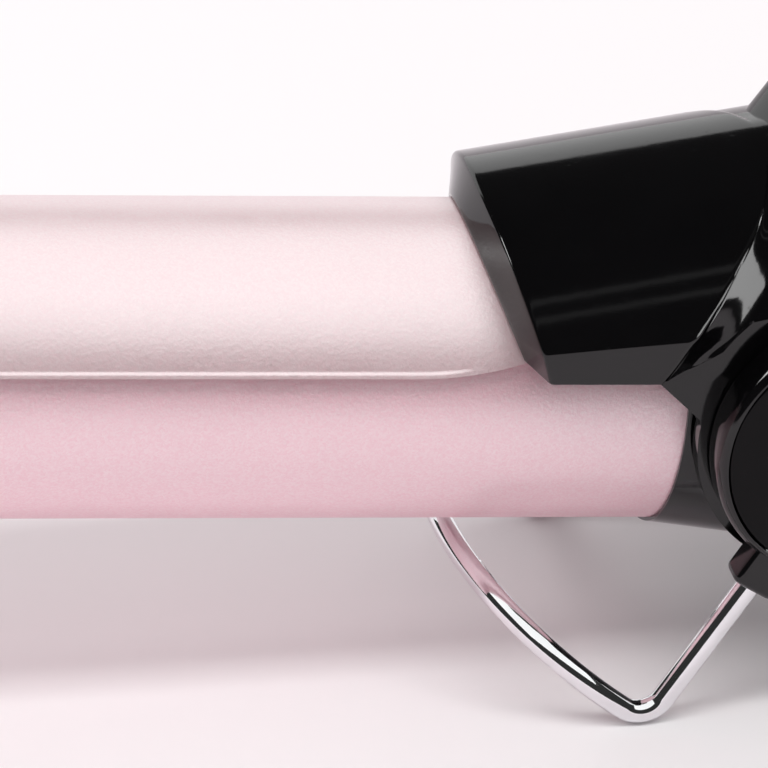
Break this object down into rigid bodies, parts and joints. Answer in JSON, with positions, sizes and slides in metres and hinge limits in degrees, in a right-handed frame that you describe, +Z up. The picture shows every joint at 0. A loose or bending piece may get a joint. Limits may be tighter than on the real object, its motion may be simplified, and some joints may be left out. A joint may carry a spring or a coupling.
{
  "type": "curling iron",
  "caption": "Curling iron: a pink heated barrel under a sprung clamp plate, with a glossy black hinged lever hood, a round handle, push buttons, a swivel gland and a fold-out chrome wire stand.",
  "frame": {"origin": "middle of the footprint box, on the surface that the iron rests on: its two wire feet and the underside of the handle's rear end stand at z = 0", "axes": "+X along the iron from the cool tip to the cord gland, +Y across it, +Z up; the barrel's axis slopes 5.22 degrees, tip up"},
  "size_m": [0.3336, 0.0502, 0.0673],
  "materials": {
    "ceramic_pink": "satin ceramic coat",
    "clamp_pink": "satin ceramic coat",
    "gloss_black": "gloss",
    "tip_black": "satin",
    "heatproof_grey": "matt",
    "heater_aluminium": "extruded",
    "element_film": "film",
    "sensor_glass": "gloss",
    "fuse_white": "matt",
    "steel_screw": "plated",
    "spring_steel": "drawn",
    "chrome_wire": "polished",
    "bezel_black": "gloss",
    "window_dark": "gloss",
    "power_key": "satin",
    "dark_key": "satin",
    "board_green": "solder mask",
    "module_white": "matt",
    "switch_black": "matt",
    "lead_white": "matt",
    "lead_red": "matt",
    "brass_rings": "turned",
    "brush_block": "matt"
  },
  "bodies": {
    "body": {"barrel_tube": "ceramic_pink", "barrel_holder": "heatproof_grey", "heater_upper": "heater_aluminium", "heater_lower": "heater_aluminium", "heater_element": "element_film", "heat_sensor": "sensor_glass", "thermal_fuse": "fuse_white", "tip_ring": "heatproof_grey", "tip_cap": "tip_black", "tip_screw": "steel_screw", "neck_collar": "gloss_black", "neck_screws": "steel_screw", "handle_upper": "gloss_black", "handle_lower": "gloss_black", "handle_screws": "steel_screw", "control_bezel": "bezel_black", "display_window": "window_dark", "circuit_board": "board_green", "display_module": "module_white", "tact_switches": "switch_black", "board_parts": "switch_black", "heater_leads": "lead_white", "mains_leads": "lead_red", "end_collar": "gloss_black", "brush_holder": "brush_block", "contact_brushes": "brass_rings", "pivot_retainers": "steel_screw", "pivot_screws": "steel_screw", "pivot_cap_left": "gloss_black", "pivot_cap_right": "gloss_black"},
    "clamp": {"clamp_lever": "gloss_black", "clamp_plate": "clamp_pink", "clamp_screws": "steel_screw", "spring_pin": "steel_screw", "clamp_spring": "spring_steel"},
    "stand": {"stand_hub_left": "gloss_black", "stand_hub_right": "gloss_black", "stand_wire": "chrome_wire"},
    "power_key": {"power_button": "power_key"},
    "minus_key": {"minus_button": "dark_key"},
    "plus_key": {"plus_button": "dark_key"},
    "cord_swivel": {"cord_gland": "gloss_black", "slip_rings": "brass_rings"}
  },
  "joints": [
    {"name": "clamp_hinge", "type": "hinge", "parent": "body", "child": "clamp", "pos_m": [0.01537, 0, 0.03077], "axis": [0, 1, 0], "range_deg": [0, 24], "stiffness_Nm_per_rad": 0.45, "springref_deg": -20.05, "deforming": ["clamp_spring"]},
    {"name": "stand_fold", "type": "hinge", "parent": "body", "child": "stand", "pos_m": [0.01537, 0, 0.03077], "axis": [0, -1, 0], "range_deg": [0, 118]},
    {"name": "power_press", "type": "slide", "parent": "body", "child": "power_key", "axis": [-0.091, 0, -0.9958], "range_m": [0, 0.0006], "stiffness_N_per_m": 1500, "springref_m": -0.0004},
    {"name": "minus_press", "type": "slide", "parent": "body", "child": "minus_key", "axis": [-0.091, 0, -0.9958], "range_m": [0, 0.0006], "stiffness_N_per_m": 1500, "springref_m": -0.0004},
    {"name": "plus_press", "type": "slide", "parent": "body", "child": "plus_key", "axis": [-0.091, 0, -0.9958], "range_m": [0, 0.0006], "stiffness_N_per_m": 1500, "springref_m": -0.0004},
    {"name": "cord_spin", "type": "hinge", "parent": "body", "child": "cord_swivel", "pos_m": [0.16624, 0, 0.01477], "axis": [0.9958, 0, -0.091], "continuous": true}
  ]
}
